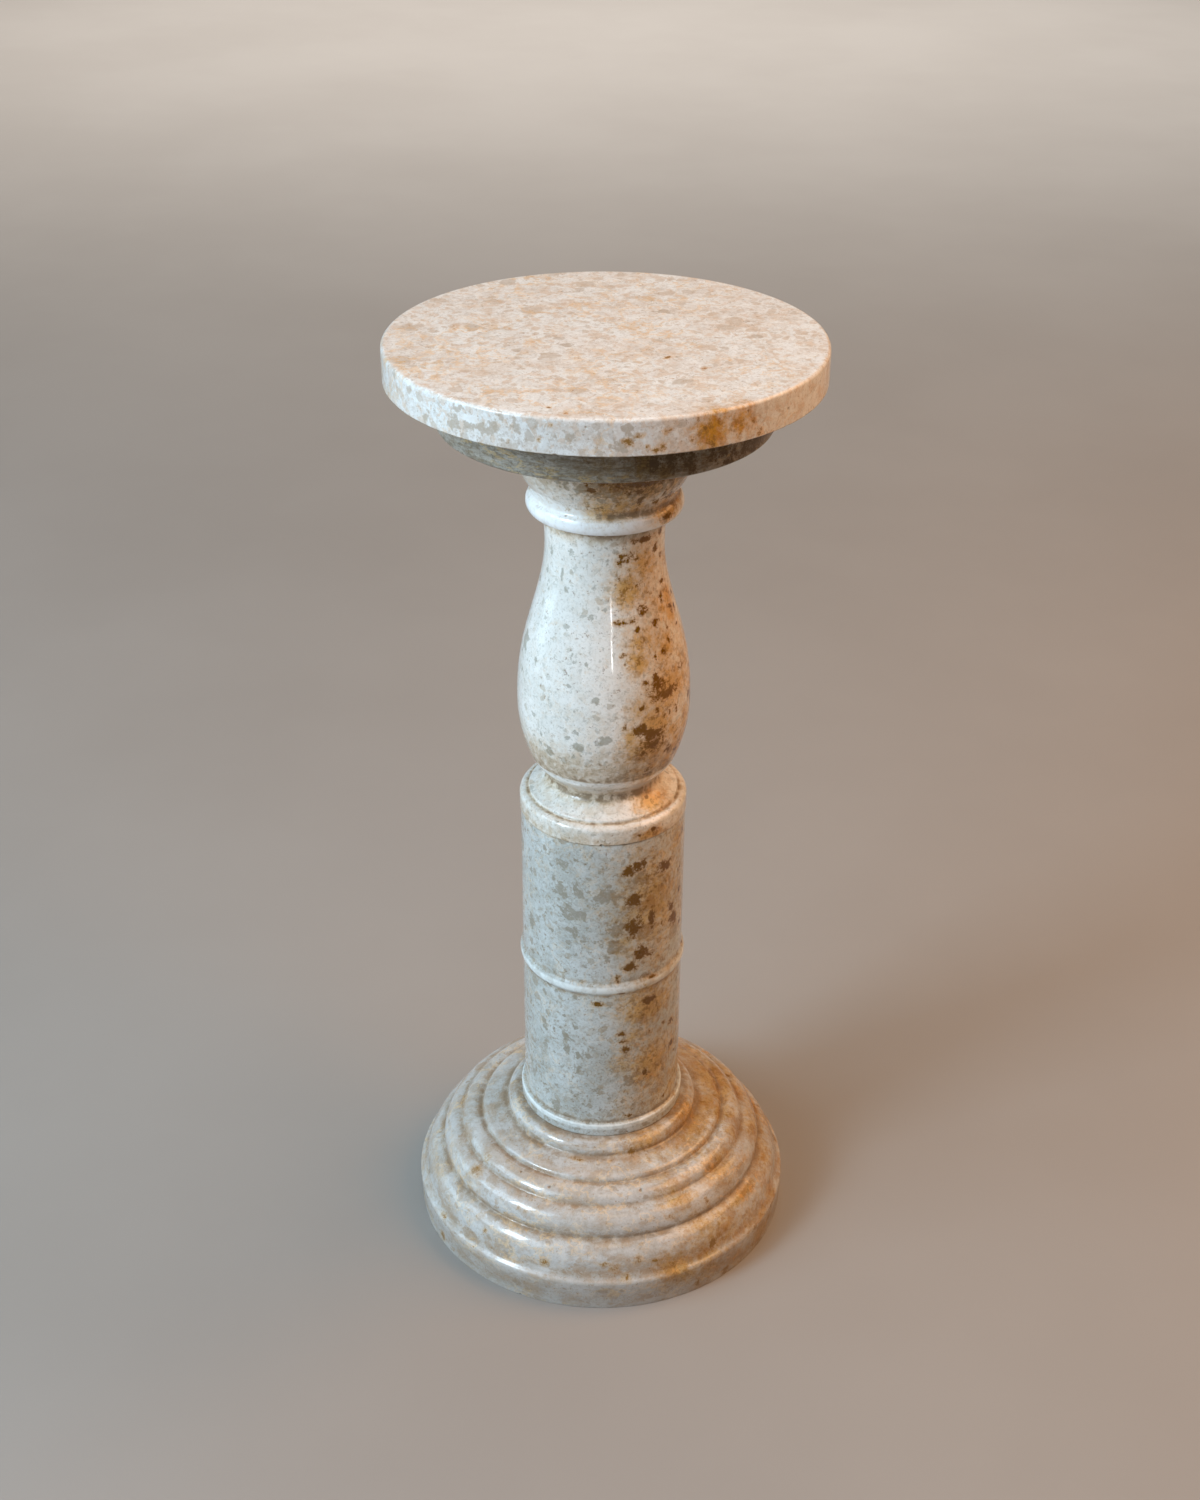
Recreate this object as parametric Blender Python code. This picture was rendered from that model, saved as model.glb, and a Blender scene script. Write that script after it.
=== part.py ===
"""A turned stone pedestal: a round slab on a disc, a baluster, a plain drum and a ringed base.

Metres, +Z up. The origin is on the axis, at the underside of the base.
Every piece is turned about the Z axis from an outline of (radius, height) points.
"""
import math

import bmesh
import bpy

MM = 0.001

# Pieces that rest on one another stay this far apart
JOINT_GAP = 0.3 * MM

# Round top slab
SLAB_RADIUS = 150.0 * MM
SLAB_THICKNESS = 24.2 * MM
SLAB_TOP_ROUND = 2.6 * MM
SLAB_FOOT_ROUND = 0.8 * MM

# Disc that carries the slab, which overhangs it
SLAB_OVERHANG = 34.0 * MM
COLLAR_THICKNESS = 31.6 * MM
COLLAR_FOOT_ROUND = 2.2 * MM

# Swelling capital at the top of the baluster
CAPITAL_TOP_RADIUS = 70.0 * MM
CAPITAL_FOOT_RADIUS = 49.0 * MM
CAPITAL_HEIGHT = 50.6 * MM
CAPITAL_SWELL = 4.0 * MM

# Half-round ring under the capital
RING_HEIGHT = 12.8 * MM
RING_OVERHANG = 4.8 * MM
RING_DEPTH = 3.8 * MM
RING_UNDERSIDE_FALL = 1.6 * MM

# Neck and pear-shaped body of the baluster
NECK_RADIUS = 42.4 * MM
NECK_FLARE = 1.6 * MM
NECK_FLARE_HEIGHT = 24.4 * MM
SHOULDER_HEIGHT = 125.0 * MM
SHOULDER_LEAN = 1.2
BELLY_RADIUS = 63.4 * MM
BELLY_UNDERCUT = 9.7 * MM
BELLY_UNDERSIDE_HEIGHT = 45.5 * MM
WAIST_RADIUS = 41.5 * MM
WAIST_HEIGHT = 17.5 * MM

# Stepped foot plate of the baluster, which stands on the drum
FLARE_HEIGHT = 11.0 * MM
FLARE_FALL_AT_EDGE = 2.2 * MM
STEP_HEIGHT = 2.9 * MM
STEP_ROUND = 0.7 * MM
PLATE_LEDGE = 6.9 * MM
PLATE_OVERHANG = 0.7 * MM
PLATE_HEIGHT = 14.4 * MM
PLATE_ROUND = 4.2 * MM

# Drum, with one bead and a foot ring
DRUM_RADIUS = 62.2 * MM
DRUM_HEIGHT = 272.6 * MM
BEAD_PROJECTION = 2.1 * MM
BEAD_HEIGHT = 11.0 * MM
BEAD_CENTRE_ABOVE_FOOT = 141.8 * MM
FOOT_RING_PROJECTION = 3.0 * MM
FOOT_RING_HEIGHT = 10.4 * MM
FOOT_RING_ROUND = 1.8 * MM

# Ringed base, from the drum outwards: each member's run outwards and its fall
SEAT_LEDGE = 1.2 * MM
QUARTER_ROUND_RUN = 10.6 * MM
QUARTER_ROUND_FALL = 10.2 * MM
QUARTER_ROUND_DEPTH = 3.4 * MM
SLOPE_RUN = 17.6 * MM
SLOPE_FALL = 4.6 * MM
SLOPE_EDGE_RUN = 3.4 * MM
SLOPE_EDGE_FALL = 4.7 * MM
SLOPE_EDGE_DEPTH = 0.9 * MM
UPPER_ROLL_RUN = 17.0 * MM
UPPER_ROLL_FALL = 8.8 * MM
UPPER_ROLL_DEPTH = 4.0 * MM
MIDDLE_ROLL_RUN = 15.0 * MM
MIDDLE_ROLL_FALL = 19.3 * MM
MIDDLE_ROLL_DEPTH = 5.0 * MM
LOWER_ROLL_RUN = 14.6 * MM
LOWER_ROLL_FALL = 17.4 * MM
LOWER_ROLL_DEPTH = 3.1 * MM
SKIRT_RUN = 3.6 * MM
SKIRT_FALL = 8.6 * MM
SKIRT_HOLLOW = 0.5 * MM
LIP_RUN = 2.8 * MM
LIP_FALL = 4.4 * MM
LIP_DEPTH = 0.9 * MM
PLINTH_HEIGHT = 23.5 * MM
PLINTH_BATTER = 0.8 * MM

# Sides of each turned piece
WIDE_SIDES = 56
COLLAR_SIDES = 48
SLIM_SIDES = 40

# Straight steps along a roll or a bead, along a small rounding, and down the body of the baluster
ROLL_STEPS = 5
ROUND_STEPS = 3
BODY_STEPS = 9

# Angle between faces past which an edge stays sharp
SHARP_ANGLE = math.radians(32)

CREAM_TOP = (0.62, 0.53, 0.44, 1.0)
SHADED_GREY = (0.42, 0.37, 0.31, 1.0)
PALE_FOSSIL = (0.60, 0.58, 0.53, 1.0)
GREY_FOSSIL = (0.50, 0.47, 0.42, 1.0)
WARM_BEIGE = (0.52, 0.46, 0.38, 1.0)
POLISHED = 0.28
WORN = 0.42


def bow(start, end, depth, steps):
    """Points after start, up to end, on the arc that stands depth off the straight line.

    A positive depth bulges to the left of the way from start to end, a negative one hollows it.
    """
    run = end[0] - start[0]
    rise = end[1] - start[1]
    chord = math.hypot(run, rise)
    side = math.copysign(1.0, depth)
    sagitta = min(abs(depth), chord / 2)
    radius = (chord * chord / 4 + sagitta * sagitta) / (2 * sagitta)
    left = (-rise / chord * side, run / chord * side)
    centre = (
        (start[0] + end[0]) / 2 - left[0] * (radius - sagitta),
        (start[1] + end[1]) / 2 - left[1] * (radius - sagitta),
    )
    half_turn = math.asin(min(1.0, chord / (2 * radius)))
    first = math.atan2(start[1] - centre[1], start[0] - centre[0])
    points = []
    for step in range(1, steps):
        angle = first - side * 2 * half_turn * step / steps
        points.append((centre[0] + radius * math.cos(angle), centre[1] + radius * math.sin(angle)))
    points.append(end)
    return points


def ease(start, start_way, end, end_way, steps):
    """Points after start, up to end, on a curve that leaves and arrives along the two given ways."""
    points = []
    for step in range(1, steps + 1):
        t = step / steps
        shares = (2 * t**3 - 3 * t**2 + 1, t**3 - 2 * t**2 + t, 3 * t**2 - 2 * t**3, t**3 - t**2)
        pulls = (start, start_way, end, end_way)
        points.append(tuple(
            sum(share * pull[axis] for share, pull in zip(shares, pulls))
            for axis in (0, 1)
        ))
    return points


def swell(narrow, wide, lean, steps):
    """Points after narrow, down to wide: a cosine slope whose lean above 1 fills out its lower part."""
    points = []
    for step in range(1, steps + 1):
        down = step / steps
        share = (1 + math.cos(math.pi * (1 - down) ** lean)) / 2
        points.append((
            narrow[0] + (wide[0] - narrow[0]) * share,
            narrow[1] + (wide[1] - narrow[1]) * down,
        ))
    return points


def rounded_corner(corner, way_in, way_out, radius, steps):
    """Points of a quarter turn of the given radius that takes a square corner off."""
    start = (corner[0] - way_in[0] * radius, corner[1] - way_in[1] * radius)
    end = (corner[0] + way_out[0] * radius, corner[1] + way_out[1] * radius)
    sagitta = radius * (1 - math.sqrt(0.5))
    return [start] + bow(start, end, sagitta, steps)


OUT = (1, 0)
DOWN = (0, -1)
IN = (-1, 0)


def slab_outline(foot):
    top = foot + SLAB_THICKNESS
    outline = rounded_corner((SLAB_RADIUS, top), OUT, DOWN, SLAB_TOP_ROUND, ROUND_STEPS)
    outline += rounded_corner((SLAB_RADIUS, foot), DOWN, IN, SLAB_FOOT_ROUND, ROUND_STEPS)
    return outline


def collar_outline(foot):
    radius = SLAB_RADIUS - SLAB_OVERHANG
    outline = [(radius, foot + COLLAR_THICKNESS)]
    outline += rounded_corner((radius, foot), DOWN, IN, COLLAR_FOOT_ROUND, ROUND_STEPS)
    return outline


def baluster_height():
    """From the foot plate's underside to the capital's top."""
    foot_plate = PLATE_HEIGHT + STEP_HEIGHT + FLARE_HEIGHT
    body = WAIST_HEIGHT + BELLY_UNDERSIDE_HEIGHT + SHOULDER_HEIGHT
    ring = RING_UNDERSIDE_FALL + RING_HEIGHT
    return foot_plate + body + NECK_FLARE_HEIGHT + ring + CAPITAL_HEIGHT


def capital_and_ring(top):
    """The capital's swelling side, then the ring's half round, down to the ring's lower edge."""
    capital_top = (CAPITAL_TOP_RADIUS, top)
    capital_foot = (CAPITAL_FOOT_RADIUS, top - CAPITAL_HEIGHT)
    ring_foot = (CAPITAL_FOOT_RADIUS + RING_OVERHANG, capital_foot[1] - RING_HEIGHT)
    outline = [capital_top]
    outline += bow(capital_top, capital_foot, CAPITAL_SWELL, ROLL_STEPS)
    outline += bow(capital_foot, ring_foot, RING_DEPTH, ROLL_STEPS)
    return outline


def neck_and_body(ring_foot_height):
    """The neck, the pear-shaped body and its underside, down to the waist."""
    neck_top = (NECK_RADIUS + NECK_FLARE, ring_foot_height - RING_UNDERSIDE_FALL)
    neck = (NECK_RADIUS, neck_top[1] - NECK_FLARE_HEIGHT)
    belly = (BELLY_RADIUS, neck[1] - SHOULDER_HEIGHT)
    underside_foot = (BELLY_RADIUS - BELLY_UNDERCUT, belly[1] - BELLY_UNDERSIDE_HEIGHT)
    waist = (WAIST_RADIUS, underside_foot[1] - WAIST_HEIGHT)

    outline = [neck_top]
    flare_way = (-2 * NECK_FLARE, -NECK_FLARE_HEIGHT)
    outline += ease(neck_top, flare_way, neck, (0, -NECK_FLARE_HEIGHT), ROUND_STEPS)
    outline += swell(neck, belly, SHOULDER_LEAN, BODY_STEPS)
    for step in range(1, ROLL_STEPS + 1):
        share = step / ROLL_STEPS
        outline.append((
            BELLY_RADIUS - BELLY_UNDERCUT * share**2,
            belly[1] - BELLY_UNDERSIDE_HEIGHT * share,
        ))
    inward_slope = 2 * BELLY_UNDERCUT / BELLY_UNDERSIDE_HEIGHT
    underside_way = (-inward_slope * WAIST_HEIGHT, -WAIST_HEIGHT)
    outline += ease(underside_foot, underside_way, waist, (0, -WAIST_HEIGHT), ROUND_STEPS)
    return outline


def foot_plate(foot):
    """The flare under the waist, the step at its edge and the rounded plate."""
    plate_radius = DRUM_RADIUS + PLATE_OVERHANG
    step_radius = plate_radius - PLATE_LEDGE
    plate_top = foot + PLATE_HEIGHT
    step_top = plate_top + STEP_HEIGHT
    waist = (WAIST_RADIUS, step_top + FLARE_HEIGHT)
    flare_edge = (step_radius - STEP_ROUND, step_top)
    edge_way = (flare_edge[0] - WAIST_RADIUS, -FLARE_FALL_AT_EDGE)
    outline = ease(waist, (0, -FLARE_HEIGHT), flare_edge, edge_way, ROLL_STEPS)
    outline += [(step_radius, step_top - STEP_ROUND), (step_radius, plate_top)]
    plate_round = min(PLATE_ROUND, PLATE_LEDGE)
    outline += rounded_corner((plate_radius, plate_top), OUT, DOWN, plate_round, ROUND_STEPS)
    outline.append((plate_radius, foot))
    return outline


def baluster_outline(foot):
    upper = capital_and_ring(foot + baluster_height())
    return upper + neck_and_body(upper[-1][1]) + foot_plate(foot)


def drum_outline(foot):
    bead_top = (DRUM_RADIUS, foot + BEAD_CENTRE_ABOVE_FOOT + BEAD_HEIGHT / 2)
    bead_foot = (DRUM_RADIUS, bead_top[1] - BEAD_HEIGHT)
    ring_top = foot + FOOT_RING_HEIGHT
    ring_radius = DRUM_RADIUS + FOOT_RING_PROJECTION
    ring_round = min(FOOT_RING_ROUND, FOOT_RING_PROJECTION)
    outline = [(DRUM_RADIUS, foot + DRUM_HEIGHT), bead_top]
    outline += bow(bead_top, bead_foot, BEAD_PROJECTION, ROLL_STEPS)
    outline.append((DRUM_RADIUS, ring_top + ring_round / 2))
    outline += rounded_corner((ring_radius, ring_top), OUT, DOWN, ring_round, ROUND_STEPS)
    outline.append((ring_radius, foot))
    return outline


def base_outline(foot):
    """The drum's seat, a quarter round, a sloping band and its edge, three rolls, then down to the floor."""
    members = [
        (QUARTER_ROUND_RUN, QUARTER_ROUND_FALL, QUARTER_ROUND_DEPTH),
        (SLOPE_RUN, SLOPE_FALL, 0),
        (SLOPE_EDGE_RUN, SLOPE_EDGE_FALL, SLOPE_EDGE_DEPTH),
        (UPPER_ROLL_RUN, UPPER_ROLL_FALL, UPPER_ROLL_DEPTH),
        (MIDDLE_ROLL_RUN, MIDDLE_ROLL_FALL, MIDDLE_ROLL_DEPTH),
        (LOWER_ROLL_RUN, LOWER_ROLL_FALL, LOWER_ROLL_DEPTH),
        (SKIRT_RUN, SKIRT_FALL, -SKIRT_HOLLOW),
        (LIP_RUN, LIP_FALL, LIP_DEPTH),
    ]
    radius = DRUM_RADIUS + FOOT_RING_PROJECTION + SEAT_LEDGE
    height = foot + base_height()
    outline = [(radius, height)]
    for run, fall, depth in members:
        radius += run
        height -= fall
        steps = ROLL_STEPS if abs(depth) > LIP_DEPTH else ROUND_STEPS
        if depth:
            outline += bow(outline[-1], (radius, height), depth, steps)
        else:
            outline.append((radius, height))
    outline.append((radius - PLINTH_BATTER, foot))
    return outline


def base_height():
    rolls = UPPER_ROLL_FALL + MIDDLE_ROLL_FALL + LOWER_ROLL_FALL
    steps = QUARTER_ROUND_FALL + SLOPE_FALL + SLOPE_EDGE_FALL
    return steps + rolls + SKIRT_FALL + LIP_FALL + PLINTH_HEIGHT


def stone(name, colour, roughness):
    material = bpy.data.materials.new(name)
    material.use_nodes = True
    shader = material.node_tree.nodes["Principled BSDF"]
    shader.inputs["Base Color"].default_value = colour
    shader.inputs["Roughness"].default_value = roughness
    shader.inputs["Metallic"].default_value = 0.0
    material.diffuse_color = colour
    return material


def turned(name, outline, sides, material):
    """A solid of revolution: the outline runs down its outer side, and flat faces close both ends."""
    shape = bmesh.new()
    rings = []
    for radius, height in outline:
        ring = []
        for side in range(sides):
            angle = 2 * math.pi * side / sides
            ring.append(shape.verts.new((radius * math.cos(angle), radius * math.sin(angle), height)))
        rings.append(ring)
    for upper, lower in zip(rings, rings[1:]):
        for side in range(sides):
            following = (side + 1) % sides
            shape.faces.new((upper[side], lower[side], lower[following], upper[following]))
    shape.faces.new(rings[0])
    shape.faces.new(reversed(rings[-1]))
    bmesh.ops.recalc_face_normals(shape, faces=shape.faces)
    mesh = bpy.data.meshes.new(name)
    shape.to_mesh(mesh)
    shape.free()
    mesh.shade_smooth()
    mesh.set_sharp_from_angle(angle=SHARP_ANGLE)
    mesh.materials.append(material)
    piece = bpy.data.objects.new(name, mesh)
    bpy.context.scene.collection.objects.link(piece)
    return piece


def build():
    for old in list(bpy.data.objects):
        bpy.data.objects.remove(old, do_unlink=True)

    base_foot = 0.0
    drum_foot = base_foot + base_height() + JOINT_GAP
    baluster_foot = drum_foot + DRUM_HEIGHT + JOINT_GAP
    collar_foot = baluster_foot + baluster_height() + JOINT_GAP
    slab_foot = collar_foot + COLLAR_THICKNESS + JOINT_GAP

    turned("base", base_outline(base_foot), WIDE_SIDES, stone("warm beige stone", WARM_BEIGE, POLISHED))
    turned("drum", drum_outline(drum_foot), SLIM_SIDES, stone("grey fossil stone", GREY_FOSSIL, POLISHED))
    turned(
        "baluster", baluster_outline(baluster_foot), SLIM_SIDES,
        stone("pale fossil stone", PALE_FOSSIL, POLISHED),
    )
    turned(
        "collar_disc", collar_outline(collar_foot), COLLAR_SIDES,
        stone("shaded grey stone", SHADED_GREY, WORN),
    )
    turned("top_slab", slab_outline(slab_foot), WIDE_SIDES, stone("cream stone", CREAM_TOP, POLISHED))


build()
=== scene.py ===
"""The looks of a turned stone pedestal: polished cream fossil stone under soft studio light.

Five turned pieces stand for the five solids of the frame: slab, collar disc, baluster, drum and base.
Sizes are in millimetres where a name says so by MM, and otherwise in metres. Azimuth 0 faces the camera,
along -Y, and positive azimuths turn towards +X.
"""
import math
import random

import bmesh
import bpy
import numpy as np
from mathutils import Matrix, Vector, kdtree, noise


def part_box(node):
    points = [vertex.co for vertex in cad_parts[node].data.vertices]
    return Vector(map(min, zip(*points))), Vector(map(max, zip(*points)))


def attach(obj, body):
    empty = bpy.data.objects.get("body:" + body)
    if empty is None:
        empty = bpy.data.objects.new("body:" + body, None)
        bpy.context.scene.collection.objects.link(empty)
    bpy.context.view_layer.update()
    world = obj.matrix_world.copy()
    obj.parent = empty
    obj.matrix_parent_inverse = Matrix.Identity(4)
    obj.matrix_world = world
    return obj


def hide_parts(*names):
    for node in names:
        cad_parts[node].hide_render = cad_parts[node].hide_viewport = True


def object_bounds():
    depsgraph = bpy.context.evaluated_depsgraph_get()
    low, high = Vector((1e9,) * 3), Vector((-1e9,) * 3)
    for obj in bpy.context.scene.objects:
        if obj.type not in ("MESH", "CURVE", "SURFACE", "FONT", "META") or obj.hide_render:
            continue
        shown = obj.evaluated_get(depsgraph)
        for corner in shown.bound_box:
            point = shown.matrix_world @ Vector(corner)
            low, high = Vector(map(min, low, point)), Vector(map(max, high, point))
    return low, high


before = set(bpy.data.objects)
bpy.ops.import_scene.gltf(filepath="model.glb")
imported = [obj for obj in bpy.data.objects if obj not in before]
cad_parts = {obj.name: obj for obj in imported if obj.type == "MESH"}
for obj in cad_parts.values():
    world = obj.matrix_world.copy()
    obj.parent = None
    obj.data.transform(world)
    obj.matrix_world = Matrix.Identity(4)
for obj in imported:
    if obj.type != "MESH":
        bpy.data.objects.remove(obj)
cad_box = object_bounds()

MM = 0.001

# Outline sizes, as in the solids
SLAB_TOP_ROUND = 2.6 * MM
SLAB_FOOT_ROUND = 0.8 * MM
COLLAR_FOOT_ROUND = 2.2 * MM
CAPITAL_TOP_RADIUS = 70.0 * MM
CAPITAL_FOOT_RADIUS = 49.0 * MM
CAPITAL_HEIGHT = 50.6 * MM
CAPITAL_SWELL = 4.0 * MM
RING_HEIGHT = 12.8 * MM
RING_OVERHANG = 4.8 * MM
RING_DEPTH = 3.8 * MM
RING_UNDERSIDE_FALL = 1.6 * MM
NECK_RADIUS = 42.4 * MM
NECK_FLARE = 1.6 * MM
NECK_FLARE_HEIGHT = 24.4 * MM
SHOULDER_HEIGHT = 125.0 * MM
SHOULDER_LEAN = 1.2
BELLY_RADIUS = 63.4 * MM
BELLY_UNDERCUT = 9.7 * MM
BELLY_UNDERSIDE_HEIGHT = 45.5 * MM
WAIST_RADIUS = 41.5 * MM
WAIST_HEIGHT = 17.5 * MM
FLARE_HEIGHT = 11.0 * MM
FLARE_FALL_AT_EDGE = 2.2 * MM
STEP_HEIGHT = 2.9 * MM
STEP_ROUND = 0.7 * MM
PLATE_LEDGE = 6.9 * MM
PLATE_OVERHANG = 0.7 * MM
PLATE_HEIGHT = 14.4 * MM
PLATE_ROUND = 4.2 * MM
DRUM_RADIUS = 62.2 * MM
BEAD_PROJECTION = 2.1 * MM
BEAD_HEIGHT = 11.0 * MM
BEAD_CENTRE_ABOVE_FOOT = 141.8 * MM
FOOT_RING_PROJECTION = 3.0 * MM
FOOT_RING_HEIGHT = 10.4 * MM
FOOT_RING_ROUND = 1.8 * MM
SEAT_LEDGE = 1.2 * MM
# Base members from the drum outwards: run, fall, depth of the bow
BASE_MEMBERS = [
    (10.6 * MM, 10.2 * MM, 3.4 * MM),
    (17.6 * MM, 4.6 * MM, 0.0),
    (3.4 * MM, 4.7 * MM, 0.9 * MM),
    (17.0 * MM, 8.8 * MM, 4.0 * MM),
    (15.0 * MM, 19.3 * MM, 5.0 * MM),
    (14.6 * MM, 17.4 * MM, 3.1 * MM),
    (3.6 * MM, 8.6 * MM, -0.5 * MM),
    (2.8 * MM, 4.4 * MM, 0.9 * MM),
]
PLINTH_BATTER = 0.8 * MM

# Runs of painted shade: how far each starts below its piece's top, its reach and its strength. It thins out
# downwards from an overhang, and upwards where the reach is below 0. They paint the shade under the slab on the
# disc, under the disc on the capital, under the ring, below the bead and on the belly's underside; the run at the
# baluster's foot only makes it darker towards its foot.
BALUSTER_HEIGHT = 305.7 * MM
BELLY_FOOT_BELOW_TOP = 258.0 * MM
BEAD_FOOT_BELOW_TOP = 136.3 * MM
PAINTED_SHADE_RUNS = {
    "carrying_disc": [(0.0, 12.0 * MM, 0.7)],
    "vase_baluster": [(0.0, 52.0 * MM, 0.90), (CAPITAL_HEIGHT + RING_HEIGHT, 16.0 * MM, 1.0),
                      (BELLY_FOOT_BELOW_TOP, -42.0 * MM, 0.80), (BALUSTER_HEIGHT, -20.0 * MM, 0.50)],
    "plain_drum": [(BEAD_FOOT_BELOW_TOP, 4.0 * MM, 0.9)],
}

# How finely the outlines are drawn, and how far worn their edges are
ARC_STEPS = 40
COVE_ABOVE = 6
COVE_BELOW = 6
SAMPLE_STEP = 0.25 * MM
CHORD_ERROR = 0.008 * MM
FACE_STEP = 15.0 * MM
LONGEST_STEP = 1.6 * MM
ARRIS = 0.35 * MM
END_RUN = 3.0 * MM
CORNER_WIDTH = 0.8 * MM
HOLLOW_TURN = math.radians(1.7)
# Shelter: hollows and joints are drawn darker, with dirty wax and with painted shade in the creases.
SHELTER_WIDTH = 2.0 * MM
SHELTER_TURN = math.radians(50)
SHELTER_PER_HOLLOW = 2.2
SHELTER_GAIN = 2.5
JOINT_DIRT = 1.1 * MM
JOINT_QUIET = 4.0 * MM

# Wear and natural pits
UNEVENNESS = 0.12 * MM
UNEVENNESS_SIZE = 26 * MM
WELD = 0.01 * MM
REFINE_MARGIN = 1.0 * MM
REFINE_CUTS = 3
PIT_RAGGEDNESS = 0.45
CHIP_RAGGEDNESS = 0.35
CHIP_GRAIN = 1.2 * MM

OUT = (1, 0)
DOWN = (0, -1)
IN = (-1, 0)


# Outlines

def bow(start, end, depth):
    """Points after start, up to end, on the arc that stands depth off the straight line."""
    run = end[0] - start[0]
    rise = end[1] - start[1]
    chord = math.hypot(run, rise)
    side = math.copysign(1.0, depth)
    sagitta = min(abs(depth), chord / 2)
    radius = (chord * chord / 4 + sagitta * sagitta) / (2 * sagitta)
    left = (-rise / chord * side, run / chord * side)
    centre = (
        (start[0] + end[0]) / 2 - left[0] * (radius - sagitta),
        (start[1] + end[1]) / 2 - left[1] * (radius - sagitta),
    )
    half_turn = math.asin(min(1.0, chord / (2 * radius)))
    first = math.atan2(start[1] - centre[1], start[0] - centre[0])
    angles = [first - side * 2 * half_turn * step / ARC_STEPS for step in range(1, ARC_STEPS)]
    return [(centre[0] + radius * math.cos(a), centre[1] + radius * math.sin(a)) for a in angles] + [end]


def ease(start, start_way, end, end_way):
    """Points after start, up to end, on a curve that leaves and arrives along the two given ways."""
    points = []
    for step in range(1, ARC_STEPS + 1):
        t = step / ARC_STEPS
        shares = (2 * t**3 - 3 * t**2 + 1, t**3 - 2 * t**2 + t, 3 * t**2 - 2 * t**3, t**3 - t**2)
        pulls = (start, start_way, end, end_way)
        points.append(tuple(sum(share * pull[axis] for share, pull in zip(shares, pulls)) for axis in (0, 1)))
    return points


def swell(narrow, wide, lean):
    """Points after narrow, down to wide: a cosine slope whose lean above 1 fills out its lower part."""
    points = []
    for step in range(1, 3 * ARC_STEPS + 1):
        down = step / (3 * ARC_STEPS)
        share = (1 + math.cos(math.pi * (1 - down) ** lean)) / 2
        points.append((narrow[0] + (wide[0] - narrow[0]) * share, narrow[1] + (wide[1] - narrow[1]) * down))
    return points


def stretched(start, end, times):
    return ((end[0] - start[0]) * times, (end[1] - start[1]) * times)


def rounded_corner(corner, way_in, way_out, radius):
    start = (corner[0] - way_in[0] * radius, corner[1] - way_in[1] * radius)
    end = (corner[0] + way_out[0] * radius, corner[1] + way_out[1] * radius)
    return [start] + bow(start, end, radius * (1 - math.sqrt(0.5)))


def slab_outline(radius, foot, top):
    outline = rounded_corner((radius, top), OUT, DOWN, SLAB_TOP_ROUND)
    return outline + rounded_corner((radius, foot), DOWN, IN, SLAB_FOOT_ROUND)


def collar_outline(radius, foot, top):
    return [(radius, top)] + rounded_corner((radius, foot), DOWN, IN, COLLAR_FOOT_ROUND)


def baluster_outline(radius, foot, top):
    """Capital, ring, neck, pear-shaped body, waist, flare, step and rounded foot plate."""
    capital_foot = (CAPITAL_FOOT_RADIUS, top - CAPITAL_HEIGHT)
    ring_foot = (CAPITAL_FOOT_RADIUS + RING_OVERHANG, capital_foot[1] - RING_HEIGHT)
    capital = [(CAPITAL_TOP_RADIUS, top)] + bow((CAPITAL_TOP_RADIUS, top), capital_foot, CAPITAL_SWELL)
    ring = bow(capital_foot, ring_foot, RING_DEPTH)
    outline = capital[:-COVE_ABOVE]
    outline += ease(outline[-1], stretched(outline[-2], outline[-1], COVE_ABOVE),
                    ring[COVE_BELOW], stretched(ring[COVE_BELOW], ring[COVE_BELOW + 1], COVE_BELOW))
    outline += ring[COVE_BELOW + 1:]

    neck_top = (NECK_RADIUS + NECK_FLARE, ring_foot[1] - RING_UNDERSIDE_FALL)
    neck = (NECK_RADIUS, neck_top[1] - NECK_FLARE_HEIGHT)
    belly = (BELLY_RADIUS, neck[1] - SHOULDER_HEIGHT)
    outline.append(neck_top)
    outline += ease(neck_top, (-2 * NECK_FLARE, -NECK_FLARE_HEIGHT), neck, (0, -NECK_FLARE_HEIGHT))
    outline += swell(neck, belly, SHOULDER_LEAN)
    for step in range(1, ARC_STEPS + 1):
        share = step / ARC_STEPS
        outline.append((BELLY_RADIUS - BELLY_UNDERCUT * share**2, belly[1] - BELLY_UNDERSIDE_HEIGHT * share))
    waist = (WAIST_RADIUS, outline[-1][1] - WAIST_HEIGHT)
    inward_slope = 2 * BELLY_UNDERCUT / BELLY_UNDERSIDE_HEIGHT
    outline += ease(outline[-1], (-inward_slope * WAIST_HEIGHT, -WAIST_HEIGHT), waist, (0, -WAIST_HEIGHT))

    step_radius = DRUM_RADIUS + PLATE_OVERHANG - PLATE_LEDGE
    plate_top = foot + PLATE_HEIGHT
    flare_edge = (step_radius - STEP_ROUND, plate_top + STEP_HEIGHT)
    outline += ease(waist, (0, -FLARE_HEIGHT), flare_edge, (flare_edge[0] - WAIST_RADIUS, -FLARE_FALL_AT_EDGE))
    outline += [(step_radius, flare_edge[1] - STEP_ROUND), (step_radius, plate_top)]
    outline += rounded_corner((DRUM_RADIUS + PLATE_OVERHANG, plate_top), OUT, DOWN, PLATE_ROUND)
    outline.append((DRUM_RADIUS + PLATE_OVERHANG, foot))
    return outline


def drum_outline(radius, foot, top):
    bead_top = (DRUM_RADIUS, foot + BEAD_CENTRE_ABOVE_FOOT + BEAD_HEIGHT / 2)
    bead_foot = (DRUM_RADIUS, bead_top[1] - BEAD_HEIGHT)
    ring_top = foot + FOOT_RING_HEIGHT
    outline = [(DRUM_RADIUS, top), bead_top] + bow(bead_top, bead_foot, BEAD_PROJECTION)
    outline.append((DRUM_RADIUS, ring_top + FOOT_RING_ROUND / 2))
    outline += rounded_corner((DRUM_RADIUS + FOOT_RING_PROJECTION, ring_top), OUT, DOWN, FOOT_RING_ROUND)
    outline.append((DRUM_RADIUS + FOOT_RING_PROJECTION, foot))
    return outline


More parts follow.
